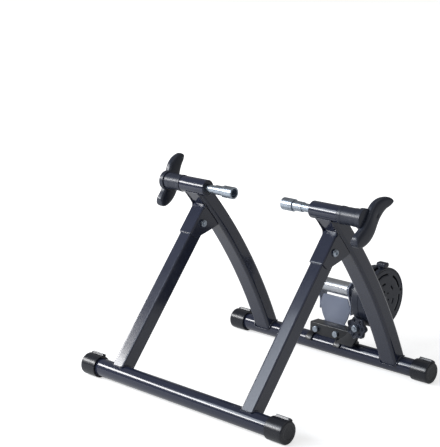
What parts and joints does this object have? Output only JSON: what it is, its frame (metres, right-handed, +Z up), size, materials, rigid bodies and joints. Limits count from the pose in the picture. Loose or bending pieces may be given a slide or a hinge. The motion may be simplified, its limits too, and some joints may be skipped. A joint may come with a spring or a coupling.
{
  "type": "bicycle trainer stand",
  "caption": "Folding indoor bicycle trainer: A-frame steel stand with two axle clamps and a magnetic roller unit with selector and hand knob.",
  "frame": {"origin": "middle of the bounding box, on the floor", "axes": "+Z up, -Y towards the front foot, +X the side of the magnet drum; the clamp, pivot and roller axes run along X"},
  "size_m": [0.5598, 0.5688, 0.433],
  "materials": {
    "dark_painted_steel": "gloss powder coat",
    "black_cap_plastic": "satin",
    "black_plastic": "satin",
    "black_painted_steel": "satin paint",
    "grey_painted_steel": "satin paint",
    "zinc_plated_steel": "bright zinc",
    "polished_steel": "polished",
    "bare_steel": "ground"
  },
  "bodies": {
    "stand": {"rear_foot_tube": "dark_painted_steel", "rear_leg_left": "dark_painted_steel", "rear_leg_right": "dark_painted_steel", "pivot_bracket_left": "dark_painted_steel", "pivot_bracket_right": "dark_painted_steel", "pivot_bolt_left": "zinc_plated_steel", "pivot_bolt_right": "zinc_plated_steel", "pivot_nut_left": "zinc_plated_steel", "pivot_nut_right": "zinc_plated_steel", "clamp_tube_left": "dark_painted_steel", "clamp_tube_right": "dark_painted_steel", "clamp_bush_left": "black_plastic", "clamp_bush_right": "black_plastic", "clamp_collar_left": "black_plastic", "clamp_collar_right": "black_plastic"},
    "front_frame": {"front_foot_tube": "dark_painted_steel", "front_leg_left": "dark_painted_steel", "front_leg_right": "dark_painted_steel"},
    "front_cap_left": {"front_foot_cap_left": "black_cap_plastic"},
    "front_cap_right": {"front_foot_cap_right": "black_cap_plastic"},
    "rear_cap_left": {"rear_foot_cap_left": "black_cap_plastic"},
    "rear_cap_right": {"rear_foot_cap_right": "black_cap_plastic"},
    "handle_left": {"clamp_handle_left": "black_plastic", "handle_cam_left": "zinc_plated_steel"},
    "handle_right": {"clamp_handle_right": "black_plastic", "handle_cam_right": "zinc_plated_steel"},
    "rod_left": {"clamp_rod_left": "zinc_plated_steel", "axle_cup_left": "zinc_plated_steel"},
    "rod_right": {"clamp_rod_right": "zinc_plated_steel", "axle_cup_right": "zinc_plated_steel"},
    "unit": {"unit_saddle": "black_painted_steel", "u_bracket": "grey_painted_steel", "band_bolt": "zinc_plated_steel", "drum_housing": "black_plastic", "drum_cover": "black_plastic", "cover_screw_1": "black_painted_steel", "cover_screw_2": "black_painted_steel", "cover_screw_3": "black_painted_steel", "seat_bolt_left": "zinc_plated_steel", "seat_bolt_right": "zinc_plated_steel", "seat_nut_left": "zinc_plated_steel", "seat_nut_right": "zinc_plated_steel", "bearing_left": "bare_steel", "bearing_right": "bare_steel"},
    "knob": {"tension_knob": "black_plastic", "knob_nut": "zinc_plated_steel"},
    "rotor": {"roller": "polished_steel", "roller_shaft": "bare_steel", "shaft_nut": "zinc_plated_steel", "flywheel": "bare_steel"},
    "selector": {"magnet_carrier": "black_plastic", "magnet_1": "bare_steel", "magnet_2": "bare_steel", "magnet_3": "bare_steel", "magnet_4": "bare_steel", "magnet_5": "bare_steel", "magnet_6": "bare_steel"}
  },
  "joints": [
    {"name": "fold", "type": "hinge", "parent": "stand", "child": "front_frame", "pos_m": [0, -0.0421, 0.303], "axis": [1, 0, 0], "range_deg": [0, 66]},
    {"name": "unit_swing", "type": "hinge", "parent": "stand", "child": "unit", "pos_m": [0, 0.189, 0.0225], "axis": [1, 0, 0], "range_deg": [-25, 10]},
    {"name": "roller_spin", "type": "hinge", "parent": "unit", "child": "rotor", "pos_m": [0, 0.2185, 0.1455], "axis": [1, 0, 0], "continuous": true},
    {"name": "selector_turn", "type": "hinge", "parent": "unit", "child": "selector", "pos_m": [0, 0.2185, 0.1455], "axis": [1, 0, 0], "range_deg": [-24, 24]},
    {"name": "knob_turn", "type": "hinge", "parent": "unit", "child": "knob", "pos_m": [0.106, 0.1575, 0.0905], "axis": [0, -1, 0], "range_deg": [0, 720]},
    {"name": "handle_turn_left", "type": "hinge", "parent": "stand", "child": "handle_left", "pos_m": [-0.2547, -0.0461, 0.381], "axis": [1, 0, 0], "range_deg": [0, 90]},
    {"name": "rod_slide_left", "type": "slide", "parent": "stand", "child": "rod_left", "axis": [-1, 0, 0], "range_m": [0, 0.012]},
    {"name": "front_cap_turn_left", "type": "hinge", "parent": "front_frame", "child": "front_cap_left", "pos_m": [-0.25, -0.2619, 0.0225], "axis": [1, 0, 0], "range_deg": [-180, 180]},
    {"name": "rear_cap_turn_left", "type": "hinge", "parent": "stand", "child": "rear_cap_left", "pos_m": [-0.25, 0.189, 0.0225], "axis": [1, 0, 0], "range_deg": [-180, 180]},
    {"name": "handle_turn_right", "type": "hinge", "parent": "stand", "child": "handle_right", "pos_m": [0.2547, -0.0461, 0.381], "axis": [1, 0, 0], "range_deg": [0, 90]},
    {"name": "rod_slide_right", "type": "slide", "parent": "stand", "child": "rod_right", "axis": [1, 0, 0], "range_m": [0, 0.012]},
    {"name": "front_cap_turn_right", "type": "hinge", "parent": "front_frame", "child": "front_cap_right", "pos_m": [0.25, -0.2619, 0.0225], "axis": [1, 0, 0], "range_deg": [-180, 180]},
    {"name": "rear_cap_turn_right", "type": "hinge", "parent": "stand", "child": "rear_cap_right", "pos_m": [0.25, 0.189, 0.0225], "axis": [1, 0, 0], "range_deg": [-180, 180]}
  ],
  "couplings": [
    {"joint": "rod_slide_left", "follows": "handle_turn_left", "m_per_rad": 0.00763},
    {"joint": "rod_slide_right", "follows": "handle_turn_right", "m_per_rad": 0.00763}
  ]
}
